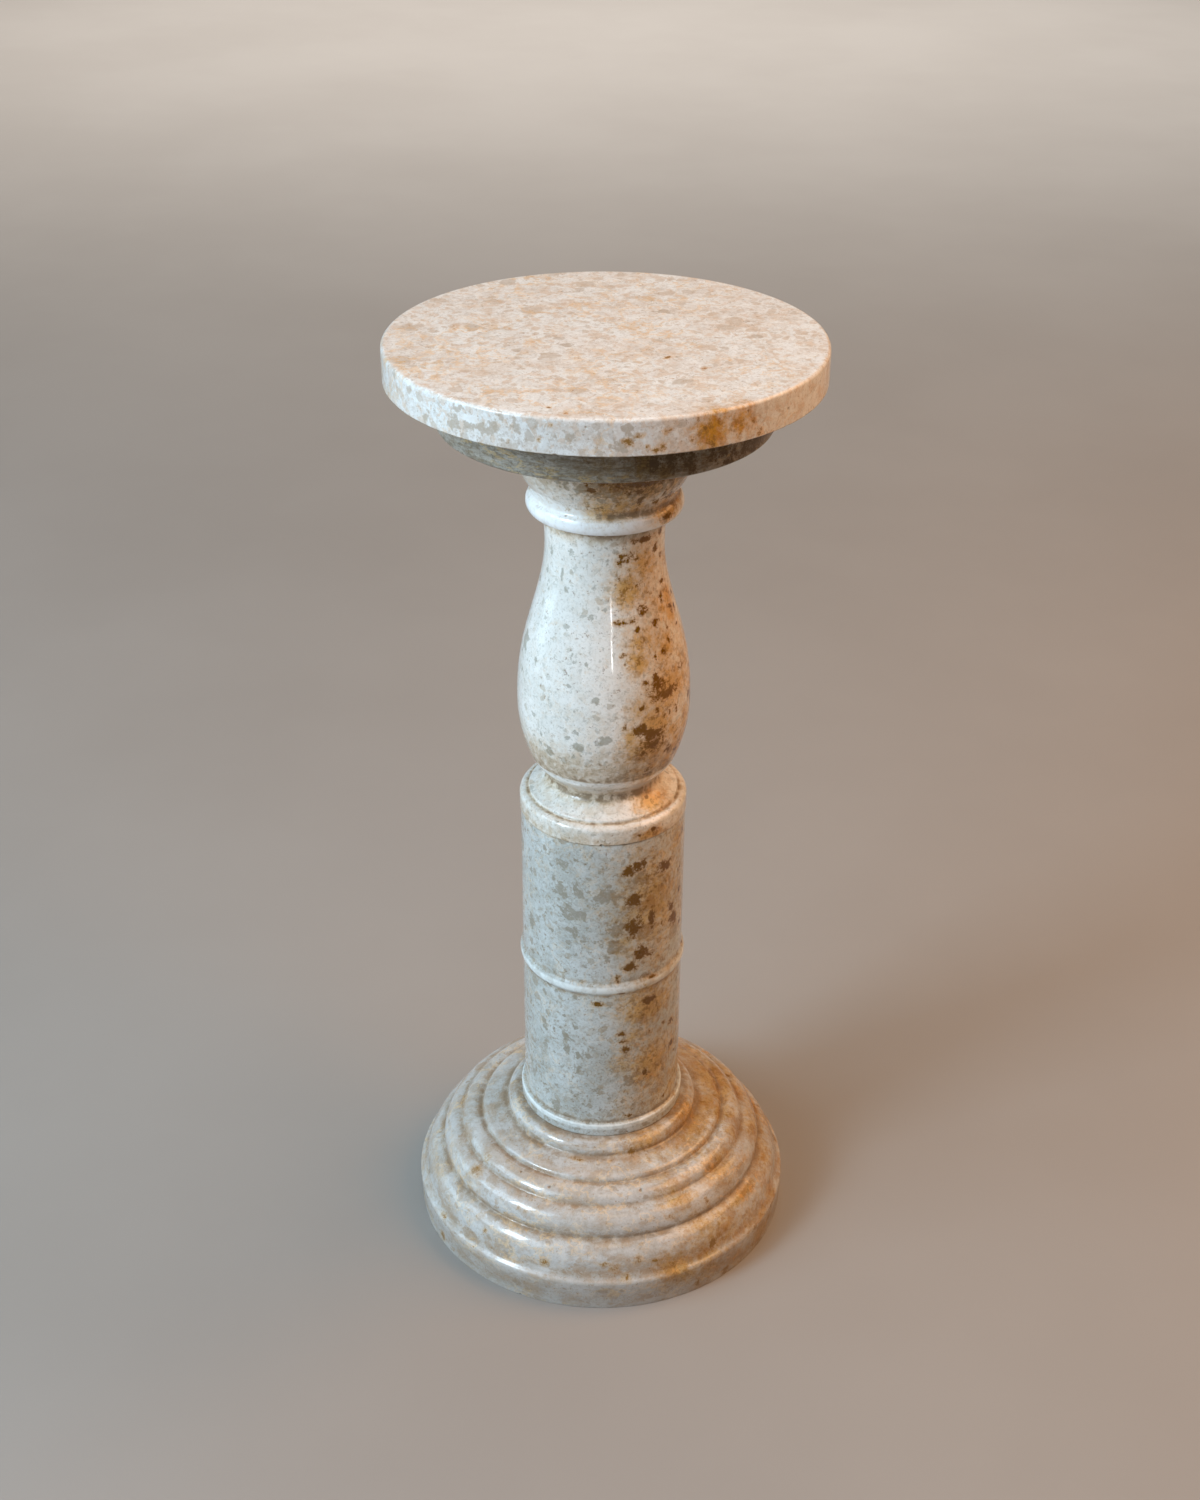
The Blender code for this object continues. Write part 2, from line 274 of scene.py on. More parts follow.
def base_outline(radius, foot, top):
    outline = [(DRUM_RADIUS + FOOT_RING_PROJECTION + SEAT_LEDGE, top)]
    for run, fall, depth in BASE_MEMBERS:
        end = (outline[-1][0] + run, outline[-1][1] - fall)
        outline += bow(outline[-1], end, depth) if depth else [end]
    outline.append((outline[-1][0] - PLINTH_BATTER, foot))
    return outline


def resampled(points, step):
    points = np.array(points, float)
    lengths = np.concatenate([[0], np.cumsum(np.linalg.norm(np.diff(points, axis=0), axis=1))])
    count = max(2, int(round(lengths[-1] / step)) + 1)
    at = np.linspace(0, lengths[-1], count)
    return np.stack([np.interp(at, lengths, points[:, axis]) for axis in (0, 1)], 1)


def averaged(values, reach):
    """The values averaged over a bell that is reach samples wide on each side, ends held."""
    bell = np.exp(-0.5 * (np.arange(-2 * reach, 2 * reach + 1) / reach) ** 2)
    bell /= bell.sum()
    padded = np.concatenate([np.repeat(values[:1], 2 * reach, 0), values, np.repeat(values[-1:], 2 * reach, 0)])
    return np.stack([np.convolve(padded[:, axis], bell, "valid") for axis in range(values.shape[1])], 1)


def thinned(points, longest):
    """Indices of the points that keep the line within the chord error, never further apart than longest."""
    kept = [0]
    while kept[-1] < len(points) - 1:
        start = kept[-1]
        end = start + 1
        while end < len(points) - 1:
            way = points[end + 1] - points[start]
            length = np.linalg.norm(way)
            between = points[start + 1:end + 1] - points[start]
            off = np.abs(between[:, 0] * way[1] - between[:, 1] * way[0]) / max(length, 1e-9)
            if length > longest or off.max() > CHORD_ERROR:
                break
            end += 1
        kept.append(end)
    return kept


def finished_outline(outline, hollow, joints, runs, top_step):
    """The outline with worn edges and its flat ends closed to the axis, and how sheltered each point is.

    Arrises keep a small wear and grooves are rounded out by hollow. The shelter is 1 deep in a groove or at a
    joint with the next piece, where dirty wax stays and painted shade is drawn in the creases, 0 on flats and below
    0 on rolls, which are worn clean and drawn with a painted sheen. The runs add painted shade under overhangs.
    """
    ends = [(outline[0][0] - END_RUN, outline[0][1])], [(outline[-1][0] - END_RUN, outline[-1][1])]
    line = resampled(ends[0] + outline + ends[1], SAMPLE_STEP)
    worn = averaged(line, round(ARRIS / SAMPLE_STEP) or 1)
    inward = averaged(np.clip(turns(worn), 0, None), round(CORNER_WIDTH / SAMPLE_STEP))[:, 0]
    share = averaged(np.clip(inward / HOLLOW_TURN, 0, 1)[:, None], round(hollow / SAMPLE_STEP))
    soft = worn * (1 - share) + averaged(line, round(hollow / SAMPLE_STEP)) * share
    soft[:, 1] = np.clip(soft[:, 1], outline[-1][1], outline[0][1])
    soft[0], soft[-1] = line[0], line[-1]

    window = round(max(SHELTER_WIDTH, SHELTER_PER_HOLLOW * hollow) / SAMPLE_STEP)
    shelter = averaged(turns(soft), window)[:, 0] * window * SHELTER_GAIN / SHELTER_TURN
    for height in joints:
        away = np.abs(soft[:, 1] - height)
        dirty = np.maximum(shelter, np.maximum(0, 1 - away / JOINT_DIRT))
        shelter = np.where(away < JOINT_QUIET, dirty, shelter)
    # Runs of painted shade under overhangs; the one at the baluster's foot only darkens it towards its foot.
    for height, reach, strength in runs:
        below = (height - soft[:, 1]) / reach
        shelter = np.where((below > 0) & (below < 1), np.maximum(shelter, strength * (1 - below)), shelter)
    shelter = np.clip(shelter, -1, 1)
    kept = thinned(soft, LONGEST_STEP)
    rows = [(soft[k][0], soft[k][1], shelter[k]) for k in kept]
    top_rows = max(1, round(rows[0][0] / top_step))
    foot_rows = max(1, round(rows[-1][0] / FACE_STEP))
    head = [(rows[0][0] * k / top_rows, rows[0][1], 0.0) for k in range(top_rows)]
    tail = [(rows[-1][0] * k / foot_rows, rows[-1][1], 0.0) for k in reversed(range(foot_rows))]
    return head + rows + tail


def turns(line):
    """A column of how far the line turns at each point, in radians: above 0 in a hollow, below 0 on a roll."""
    ways = np.arctan2(*np.diff(line, axis=0).T[::-1])
    change = (np.diff(ways) + math.pi) % (2 * math.pi) - math.pi
    return np.concatenate([[0], change, [0]])[:, None]


# Node trees

class Reading:
    """The output of a node, which sums and products can be written on."""

    def __init__(self, recipe, socket):
        self.recipe = recipe
        self.socket = socket

    def math(self, operation, *others):
        return self.recipe.node("ShaderNodeMath", {"operation": operation}, dict(enumerate((self, *others))))

    def __add__(self, other):
        return self.math("ADD", other)

    def __sub__(self, other):
        return self.math("SUBTRACT", other)

    def __rsub__(self, other):
        return self.recipe.node("ShaderNodeMath", {"operation": "SUBTRACT"}, {0: other, 1: self})

    def __mul__(self, other):
        return self.math("MULTIPLY", other)

    def __truediv__(self, other):
        return self.math("DIVIDE", other)

    def __rtruediv__(self, other):
        return self.recipe.node("ShaderNodeMath", {"operation": "DIVIDE"}, {0: other, 1: self})

    __radd__ = __add__
    __rmul__ = __mul__

    def also(self, name):
        """Another output of the same node."""
        return Reading(self.recipe, self.socket.node.outputs[name])


class Recipe:
    """Adds nodes to one tree."""

    def __init__(self, tree):
        self.tree = tree

    def node(self, kind, settings=None, sockets=None, out=0):
        """A node of this type: its settings first, then the values or readings of its sockets."""
        made = self.tree.nodes.new(kind)
        for name, value in (settings or {}).items():
            setattr(made, name, value)
        for name, value in (sockets or {}).items():
            if isinstance(value, Reading):
                self.tree.links.new(value.socket, made.inputs[name])
            else:
                made.inputs[name].default_value = value
        return Reading(self, made.outputs[out]) if made.outputs else None

    def vector(self, operation, first, second):
        return self.node("ShaderNodeVectorMath", {"operation": operation}, {0: first, 1: second})

    def mixed(self, share, first, second, blend="MIX"):
        """One colour over another by a share from 0 to 1."""
        settings = {"data_type": "RGBA", "blend_type": blend, "clamp_factor": True}
        return self.node("ShaderNodeMix", settings, {0: share, 6: first, 7: second}, 2)

    def between(self, value, low, high):
        """0 at low, 1 at high and a smooth rise between; low may lie above high."""
        settings = {"interpolation_type": "SMOOTHSTEP", "clamp": True}
        return self.node("ShaderNodeMapRange", settings, {"Value": value, "From Min": low, "From Max": high})

    def cloud(self, place, size, detail=2.0, roughness=0.5, seed=0.0):
        """Noise from 0 to 1 whose lumps are about this size."""
        spot = self.vector("ADD", place, (1.7 * seed, -0.9 * seed, 1.3 * seed))
        sockets = {"Vector": spot, "Scale": 1 / size, "Detail": detail, "Roughness": roughness}
        return self.node("ShaderNodeTexNoise", {"noise_dimensions": "3D", "normalize": True}, sockets)

    def shaken(self, place, size, reach, seed=0.0):
        """The place pushed about by up to half of reach, in lumps of this size."""
        push = self.vector("SUBTRACT", self.cloud(place, size, 1.0, 0.5, seed).also("Color"), (0.5, 0.5, 0.5))
        push = self.node("ShaderNodeVectorMath", {"operation": "SCALE"}, {"Vector": push, "Scale": reach})
        return self.vector("ADD", place, push)

    def cells(self, place, size, feature="F1"):
        return self.node("ShaderNodeTexVoronoi", {"voronoi_dimensions": "3D", "feature": feature},
                         {"Vector": place, "Scale": 1 / size, "Randomness": 1.0}, "Distance")

    def fragments(self, place, size):
        """A number from 0 to 1 of its own for each of the fragments that are packed side by side."""
        colour = self.cells(place, size).also("Color")
        return self.node("ShaderNodeSeparateColor", None, {"Color": colour}, "Red")

    def lumps(self, place, size, share, softness, least=0.16, most=0.46):
        """Rounded bits in this share of cells: how much of one is here, and two numbers of its own."""
        cell = self.cells(place, size)
        own = self.node("ShaderNodeSeparateColor", None, {"Color": cell.also("Color")}, "Red")
        reach = own * (most - least) + least
        there = self.between(own.also("Green"), 1 - share, 1.001 - share)
        return self.between(cell, reach, reach - softness) * there, own.also("Blue"), own


# Turned pieces

def turning_tree():
    """A geometry tree that turns the outline it is given about the Z axis, slightly uneven as by hand."""
    tree = bpy.data.node_groups.new("turning", "GeometryNodeTree")
    named = [
        ("Outline", "NodeSocketGeometry"), ("Outline Points", "NodeSocketInt"), ("Sides", "NodeSocketInt"),
        ("Unevenness", "NodeSocketFloat"), ("Unevenness Size", "NodeSocketFloat"), ("Seed", "NodeSocketFloat"),
        ("Stone", "NodeSocketMaterial"),
    ]
    sockets = {name: tree.interface.new_socket(name=name, in_out="INPUT", socket_type=kind).identifier
               for name, kind in named}
    tree.interface.new_socket(name="Piece", in_out="OUTPUT", socket_type="NodeSocketGeometry")
    recipe = Recipe(tree)
    outline = recipe.node("NodeGroupInput")
    count, sides, unevenness, size, seed, stone = (outline.also(name) for name, _ in named[1:])

    columns = sides + 1
    grid = recipe.node("GeometryNodeMeshGrid", None, {"Vertices X": count, "Vertices Y": columns})
    index = recipe.node("GeometryNodeInputIndex")
    row = ((index + 0.5) / columns).math("FLOOR")
    angle = (index - row * columns) * math.tau / sides

    def from_outline(kind, value):
        return recipe.node("GeometryNodeSampleIndex", {"data_type": kind, "domain": "POINT"},
                           {"Geometry": outline, "Value": value, "Index": row})

    spot = from_outline("FLOAT_VECTOR", recipe.node("GeometryNodeInputPosition"))
    shelter = from_outline("FLOAT", recipe.node("GeometryNodeInputNamedAttribute", {"data_type": "FLOAT"},
                                                {"Name": "shelter"}))
    radius = recipe.node("ShaderNodeSeparateXYZ", None, {"Vector": spot}, "X")
    cosine, sine = angle.math("COSINE"), angle.math("SINE")
    place = recipe.node("ShaderNodeCombineXYZ", None,
                        {"X": radius * cosine, "Y": radius * sine, "Z": radius.also("Z")})
    lumps = recipe.node("ShaderNodeTexNoise", {"noise_dimensions": "4D", "normalize": True},
                        {"Vector": place, "W": seed, "Scale": 1.0 / size, "Detail": 1.0})
    push = (lumps - 1.0) * unevenness * (radius / 0.01).math("MINIMUM", 1.0)
    shift = recipe.node("ShaderNodeCombineXYZ", None, {"X": push * cosine, "Y": push * sine})
    turned = recipe.node("GeometryNodeSetPosition", None,
                         {"Geometry": grid, "Position": recipe.vector("ADD", place, shift)})
    kept = recipe.node("GeometryNodeStoreNamedAttribute", {"data_type": "FLOAT", "domain": "POINT"},
                       {"Geometry": turned, "Name": "shelter", "Value": shelter})
    closed = recipe.node("GeometryNodeMergeByDistance", None, {"Geometry": kept, "Distance": WELD})
    real = recipe.node("GeometryNodeRealizeInstances", None, {"Geometry": closed})
    done = recipe.node("GeometryNodeSetMaterial", None, {"Geometry": real, "Material": stone})
    recipe.node("NodeGroupOutput", None, {"Piece": done})
    return tree, sockets


def turned_piece(name, outline, sides, unevenness, stone, seed):
    line = bpy.data.meshes.new(name + "_outline")
    line.from_pydata([(r, 0, z) for r, z, _ in outline], [(k, k + 1) for k in range(len(outline) - 1)], [])
    line.attributes.new("shelter", "FLOAT", "POINT").data.foreach_set("value", [s for _, _, s in outline])
    piece = bpy.data.objects.new(name, line)
    bpy.context.scene.collection.objects.link(piece)
    turning = piece.modifiers.new("turning", "NODES")
    turning.node_group, sockets = TURNING
    values = {"Outline Points": len(outline), "Sides": sides, "Unevenness": unevenness,
              "Unevenness Size": UNEVENNESS_SIZE, "Seed": float(seed), "Stone": stone}
    for socket, value in values.items():
        turning[sockets[socket]] = value
    mesh = bpy.data.meshes.new_from_object(piece.evaluated_get(bpy.context.evaluated_depsgraph_get()))
    piece.modifiers.remove(turning)
    piece.data = mesh
    mesh.name = name
    bpy.data.meshes.remove(line)
    return piece


def counted(mesh, key):
    """A mesh collection's numbers as an array: key is co or a named attribute."""
    if key == "co":
        values = np.empty(len(mesh.vertices) * 3, np.float32)
        mesh.vertices.foreach_get("co", values)
        return values.reshape(-1, 3).astype(float)
    values = np.empty(len(mesh.vertices), np.float32)
    mesh.attributes[key].data.foreach_get("value", values)
    return values.astype(float)


def radial(azimuth):
    """The level unit vector that points this way from the axis, in degrees from the camera's side."""
    angle = math.radians(azimuth)
    return Vector((math.sin(angle), -math.cos(angle), 0))


def on_surface(outline, azimuth, height=None, reach=None):
    """The point of a turned piece at this azimuth, by its height or by its distance from the axis."""
    if height is None:
        return radial(azimuth) * reach + Vector((0, 0, outline[0][1]))
    shown = [(r, z) for r, z, _ in outline if r > 1 * MM]
    radius = np.interp(height, [z for _, z in reversed(shown)], [r for r, _ in reversed(shown)])
    return radial(azimuth) * float(radius) + Vector((0, 0, height))


def scattered(mesh, count, dice):
    """Points spread at random over a piece's faces, by their area, none on its underside or on an edge."""
    faces = [face for face in mesh.polygons if face.normal.z > -0.5
             and all(face.normal.dot(mesh.vertices[corner].normal) > 0.985 for corner in face.vertices)]
    return [face.center.copy() for face in dice.choices(faces, [face.area for face in faces], k=count)]


def refined(mesh, places):
    """Cuts the faces round each place finer, where place is a centre and a reach."""
    shape = bmesh.new()
    shape.from_mesh(mesh)
    bmesh.ops.remove_doubles(shape, verts=shape.verts, dist=WELD)
    bmesh.ops.recalc_face_normals(shape, faces=shape.faces)
    tree = kdtree.KDTree(len(shape.faces))
    shape.faces.ensure_lookup_table()
    for index, face in enumerate(shape.faces):
        tree.insert(face.calc_center_median(), index)
    tree.balance()
    near = {index for centre, reach in places for _, index, _ in tree.find_range(centre, reach + REFINE_MARGIN)}
    edges = {edge for index in near for edge in shape.faces[index].edges}
    bmesh.ops.subdivide_edges(shape, edges=list(edges), cuts=REFINE_CUTS, use_grid_fill=True)
    shape.to_mesh(mesh)
    shape.free()


def carved(mesh, pits, chips):
    """Sinks natural pits and knocks small chips off the edges; both end up sheltered, so they are drawn darker."""
    refined(mesh, [(centre, size) for centre, size, _ in pits] + [(chip[0], chip[2]) for chip in chips])
    mesh.update()
    spots = counted(mesh, "co")
    shelter = counted(mesh, "shelter")
    normals = np.array([v.normal for v in mesh.vertices])
    tree = kdtree.KDTree(len(spots))
    for index, spot in enumerate(spots):
        tree.insert(spot, index)
    tree.balance()
    for centre, size, depth in pits:
        for spot, index, away in tree.find_range(centre, 1.3 * size):
            share = away / size * (1 + PIT_RAGGEDNESS * noise.noise(spot / size * 1.1 + centre / MM))
            if share < 1:
                spots[index] -= normals[index] * depth * math.sqrt(1 - share**4)
                shelter[index] = max(shelter[index], min(1.0, 2.6 * (1 - share)))
    for corner, cut, half_length, depth in chips:
        along = Vector((0, 0, 1)).cross(corner).normalized()
        for spot, index, away in tree.find_range(corner, 1.5 * half_length):
            share = (spot - corner).dot(along) / half_length
            if abs(share) < 1:
                ragged = 1 + CHIP_RAGGEDNESS * noise.noise(spot / CHIP_GRAIN + corner / MM)
                over = (spot - corner).dot(cut) + depth * (1 - share**2) * ragged
                if over > 0:
                    spots[index] -= np.array(cut) * over
                    shelter[index] = max(shelter[index], min(0.75, over / depth))
    mesh.vertices.foreach_set("co", spots.astype(np.float32).ravel())
    mesh.attributes["shelter"].data.foreach_set("value", shelter.astype(np.float32))
    mesh.update()


def marked(mesh, outline, marks):
    """Keeps on the piece how near each point is to its named marks: 1 at a mark's middle, 0 at its edge.

    The four channels are brown clasts, ochre stains, grey clasts and pale clasts. Some marks are painted light
    instead of the stone's own colour: pale marks on the ring's lit side, broad brown, grey and ochre marks for
    painted shade under the disc and on the belly's underside, a brown line of painted shadow under the ring, broad
    ochre partly for painted warm light on the right side, and the collar's marks partly for painted shade. A mark
    may end with a strength under 1, which leaves it faint and broken.
    """
    spots = counted(mesh, "co")
    near = np.full((len(spots), 4), -1.0)
    for kind, azimuth, where, width, tall, *strength in marks:
        centre = on_surface(outline, azimuth, **{name: value * MM for name, value in where.items()})
        offset = spots - np.array(centre)
        side = np.cross((0, 0, 1), np.array(radial(azimuth)))
        across = offset @ side
        rest = np.sqrt(np.clip((offset**2).sum(1) - across**2, 0, None))
        away = np.hypot(across / (width * MM / 2), rest / (tall * MM / 2))
        nearness = (1 - away) * np.where(away < 1, strength[0] if strength else 1.0, 1.0)
        near[:, kind] = np.maximum(near[:, kind], np.clip(nearness, -1, 1))
    kept = mesh.attributes.new("marks", "FLOAT_COLOR", "POINT")
    kept.data.foreach_set("color", near.astype(np.float32).ravel())


# Stone

BROWN, OCHRE, GREY, PALE = range(4)
WHITEST = 0.88
BRIGHTER = 1.12
# Rolls are drawn lighter by this much: partly wear, partly a painted sheen where they face the light.
WEAR_AND_SHEEN_BRIGHTER = 1.35
# Tint of hollows and joints: partly dirty wax, partly painted shade in the creases and under overhangs.
HAZE = (0.76, 0.62, 0.46)
FRAGMENT_SIZES = (13 * MM, 6 * MM)


def stone_material(name, seed, light, deep, clast, tan, brown, ochre, packing=0.25, blobs=0.5, blots=0.5,
                   large=0.3, small=0.4, fleck=0.5, seams=0.5, grit=0.45, clouding=0.0, mottle_size=6.0,
                   bedding=1.0,
                   gloss=0.15, foot_darkening=0.0, soil_and_shade_tone=(0.20, 0.13, 0.07), soil_and_shade_strength=0.6, wear_and_sheen_strength=0.5):
    """Polished fossil stone: packed fragments of nearly one tone, ragged clasts, blots, flecks and seams, with
    hollows and joints drawn darker by dirty wax and painted shade and rolls drawn lighter by wear and a painted
    sheen.
    """
    material = bpy.data.materials.new(name)
    material.use_nodes = True
    material.node_tree.nodes.clear()
    r = Recipe(material.node_tree)
    here = r.node("ShaderNodeTexCoord", None, None, "Object")
    laid = r.node("ShaderNodeMapping", None,
                  {"Vector": here, "Location": (seed, 0.37 * seed, -0.61 * seed), "Scale": (1, 1, bedding)})
    place = r.shaken(r.shaken(laid, 14 * MM, 9 * MM, 1), 3.0 * MM, 3.2 * MM, 2)
    bright = tuple(min(WHITEST, BRIGHTER * c) for c in light)
    wear_and_sheen_stone = tuple(min(WHITEST, WEAR_AND_SHEEN_BRIGHTER * c) for c in light)

    def tone(colour):
        return (*colour, 1.0)

    colour = r.mixed(r.between(r.cloud(place, 48 * MM, 3, 0.55, 3), 0.40, 0.60), tone(light), tone(deep))
    for size in FRAGMENT_SIZES:
        own = r.fragments(place, size)
        colour = r.mixed(r.between(own, 0.50, 1.0) * packing, colour, tone(clast))
        colour = r.mixed(r.between(own, 0.45, 0.0) * (1.4 * packing), colour, tone(bright))
    drift = r.cloud(place, 24 * MM, 4, 0.6, 14)
    colour = r.mixed(r.between(drift, 0.50, 0.60) * clouding, colour, tone(tan))
    colour = r.mixed(r.between(drift, 0.50, 0.40) * clouding, colour, tone(bright))
    mottle = r.cloud(place, mottle_size * MM, 4, 0.62, 4)
    colour = r.mixed(r.between(mottle, 0.54, 0.59) * blobs, colour, tone(tan))
    colour = r.mixed(r.between(mottle, 0.44, 0.40) * (0.8 * blobs), colour, tone(bright))
    blot = r.between(r.cloud(place, 4.5 * MM, 4, 0.65, 12), 0.58, 0.62)
    colour = r.mixed(blot * blots, colour, tone(clast))

    big, big_tone, _ = r.lumps(place, 20 * MM, large, 0.06)
    colour = r.mixed(big * 0.6, colour, r.mixed(big_tone, tone(clast), tone(tan)))
    little, little_tone, _ = r.lumps(place, 8.5 * MM, small, 0.08)
    colour = r.mixed(little * 0.6, colour, r.mixed(little_tone, tone(tan), tone(clast)))

    patch = r.between(r.cloud(laid, 60 * MM, 2, 0.5, 5), 0.42, 0.60)
    seam = r.between((r.cloud(place, 26 * MM, 4, 0.6, 21) - 0.5).math("ABSOLUTE"), 0.035, 0.0)
    colour = r.mixed(seam * patch * seams, colour, tone(ochre))

    fine = r.cloud(here, 1.9 * MM, 4, 0.75, 8)
    colour = r.mixed(r.between(fine, 0.50, 0.66) * grit, colour, tone(tuple(0.8 * c for c in clast)))
    colour = r.mixed(r.between(fine, 0.46, 0.34) * (0.8 * grit), colour, tone(bright))
    freckle = r.between(r.cloud(here, 2.6 * MM, 3, 0.6, 9), 0.63, 0.67)
    colour = r.mixed(freckle * fleck, colour, tone(brown))

    ragged = (r.cloud(here, 5 * MM, 5, 0.75, 7) - 0.5) * 2.6
    marks = r.node("ShaderNodeAttribute", {"attribute_type": "GEOMETRY", "attribute_name": "marks"}, None,
                   "Color")
    drawn = r.node("ShaderNodeSeparateColor", None, {"Color": marks}, "Red")
    broken = r.between(fine, 0.30, 0.50) * 0.4 + 0.6
    # Masks of the marks. Beside the stone's own clasts and stains they carry painted light: pale on the ring's lit
    # side, grey and brown for painted shade under overhangs, ochre partly for painted warm light on the right side
    # and painted shade.
    pale = r.between(marks.also("Alpha") + ragged, 0.0, 0.30)
    soft = (r.cloud(here, 5 * MM, 2, 0.5, 27) - 0.5) * 3.0
    grey = r.between(drawn.also("Blue") + soft + (fine - 0.5) * 0.8, 0.0, 0.40)
    stain_and_painted_light = r.between(drawn.also("Green") + ragged * 0.7, -0.30, 0.80)
    clot_and_painted_shade = r.between(drawn + ragged * 1.2 + (fine - 0.5) * 1.4, -0.05, 0.42)
    halo = r.between(drawn + ragged * 1.4, -0.9, 0.2)
    clump = r.between(r.cloud(here, 5 * MM, 5, 0.72, 17), 0.51, 0.60)
    colour = r.mixed(pale * 0.75, colour, tone(bright))
    colour = r.mixed(grey * broken * 0.8, colour, tone(clast))
    colour = r.mixed(stain_and_painted_light.math("MAXIMUM", halo * 0.55), colour, tone(ochre), "MULTIPLY")
    colour = r.mixed(stain_and_painted_light * clump * 0.65, colour, tone(brown))
    colour = r.mixed(clot_and_painted_shade * (broken * 0.3 + 0.7), colour, tone(brown))

    shelter = r.node("ShaderNodeAttribute", {"attribute_type": "GEOMETRY", "attribute_name": "shelter"}, None,
                     "Fac")
    # Rolls drawn lighter: partly wear, partly a painted sheen where they face the light.
    wear_and_sheen = r.between(shelter, -0.12, -0.65) * (r.between(mottle, 0.60, 0.40) * 0.4 + 0.6)
    colour = r.mixed(wear_and_sheen * (1.0 - stain_and_painted_light) * wear_and_sheen_strength, colour, tone(wear_and_sheen_stone))
    # Hollows, joints, pits, chips and the painted shade runs drawn darker: dirty wax in hollows and at joints,
    # painted shade in the creases and under overhangs.
    uneven = shelter.math("MAXIMUM", 0.0) * (r.between(mottle, 0.35, 0.62) * 0.7 + 0.45)
    uneven = uneven * (1.0 - pale * 0.8)
    dirt_and_painted_shade = r.between(uneven, 0.35, 1.05)
    # A piece with this setting is drawn darker towards its foot, below about 30 mm above the floor.
    if foot_darkening:
        height = r.node("ShaderNodeSeparateXYZ", None, {"Vector": here}, "Z")
        dirt_and_painted_shade = dirt_and_painted_shade.math("MAXIMUM", r.between(height + (mottle - 0.5) * (30 * MM), 30 * MM, 12 * MM) * foot_darkening)
    colour = r.mixed(r.between(uneven, 0.0, 0.55) * soil_and_shade_strength, colour, tone(HAZE), "MULTIPLY")
    colour = r.mixed(dirt_and_painted_shade * soil_and_shade_strength, colour, tone(soil_and_shade_tone))

    roughness = gloss + mottle * 0.10 + dirt_and_painted_shade * 0.45 + freckle * 0.2
    height = mottle * 0.03 - freckle * 0.5 + fine * 0.05
    bump = r.node("ShaderNodeBump", None, {"Strength": 0.5, "Distance": 0.25 * MM, "Height": height})
    shader = r.node("ShaderNodeBsdfPrincipled", None, {
        "Base Color": colour, "Roughness": roughness.math("MINIMUM", 0.95), "Normal": bump,
        "IOR": 1.50, "Specular IOR Level": 0.18, "Coat Weight": 0.55, "Coat Roughness": 0.07,
    })
    r.node("ShaderNodeOutputMaterial", None, {"Surface": shader})
    return material


CREAM_STONE = dict(light=(0.77, 0.77, 0.755), deep=(0.73, 0.69, 0.65), clast=(0.46, 0.375, 0.29),
                   tan=(0.66, 0.51, 0.385), brown=(0.28, 0.14, 0.03), ochre=(0.80, 0.42, 0.05))
PALE_STONE = dict(light=(0.85, 0.82, 0.77), deep=(0.77, 0.75, 0.70), clast=(0.38, 0.36, 0.30),
                  tan=(0.56, 0.45, 0.32),
                  brown=(0.175, 0.074, 0.001), ochre=(0.80, 0.51, 0.20))
# The drum's stone is partly darker stone, partly painted shade for the light falling off lower down.
GREY_STONE = dict(light=(0.57, 0.60, 0.59), deep=(0.46, 0.48, 0.46), clast=(0.29, 0.26, 0.20),
                  tan=(0.38, 0.31, 0.22),
                  brown=(0.15, 0.064, 0.001), ochre=(1.0, 0.63, 0.24))
# The collar's stone is drawn darker and browner than its own colour: painted shade under the slab's overhang.
SHADE_DARKENED_STONE = dict(light=(0.33, 0.31, 0.27), deep=(0.235, 0.20, 0.155), clast=(0.13, 0.10, 0.06),
                  tan=(0.20, 0.14, 0.075),
                  brown=(0.075, 0.04, 0.01), ochre=(0.60, 0.39, 0.12))
# The base's stone is partly its own colour, partly drawn darker as painted shade for the light falling off lower
# down.
BEIGE_STONE = dict(light=(0.52, 0.515, 0.50), deep=(0.43, 0.395, 0.35), clast=(0.31, 0.25, 0.18),
                   tan=(0.43, 0.32, 0.22),
                   brown=(0.28, 0.15, 0.035), ochre=(1.0, 0.68, 0.30))


# The five pieces, from the top down: the solid each stands for, its slot, outline, sides and finish

TURNING = turning_tree()


def swarm(kind, azimuths, heights, count, sizes, seed, strongest=0.9):
    """Small marks of one kind, spread at random over part of a piece's side."""
    dice = random.Random(seed)
    return [(kind, dice.uniform(*azimuths), {"height": dice.uniform(*heights)}, dice.uniform(*sizes),
             dice.uniform(*sizes), dice.uniform(0.15, strongest)) for _ in range(count)]


def placed(marks, foot):
    """The marks with their heights counted from the floor instead of the piece's foot."""
    def from_floor(where):
        return {name: value + foot / MM if name == "height" else value for name, value in where.items()}

    return [(kind, azimuth, from_floor(where), *rest) for kind, azimuth, where, *rest in marks]


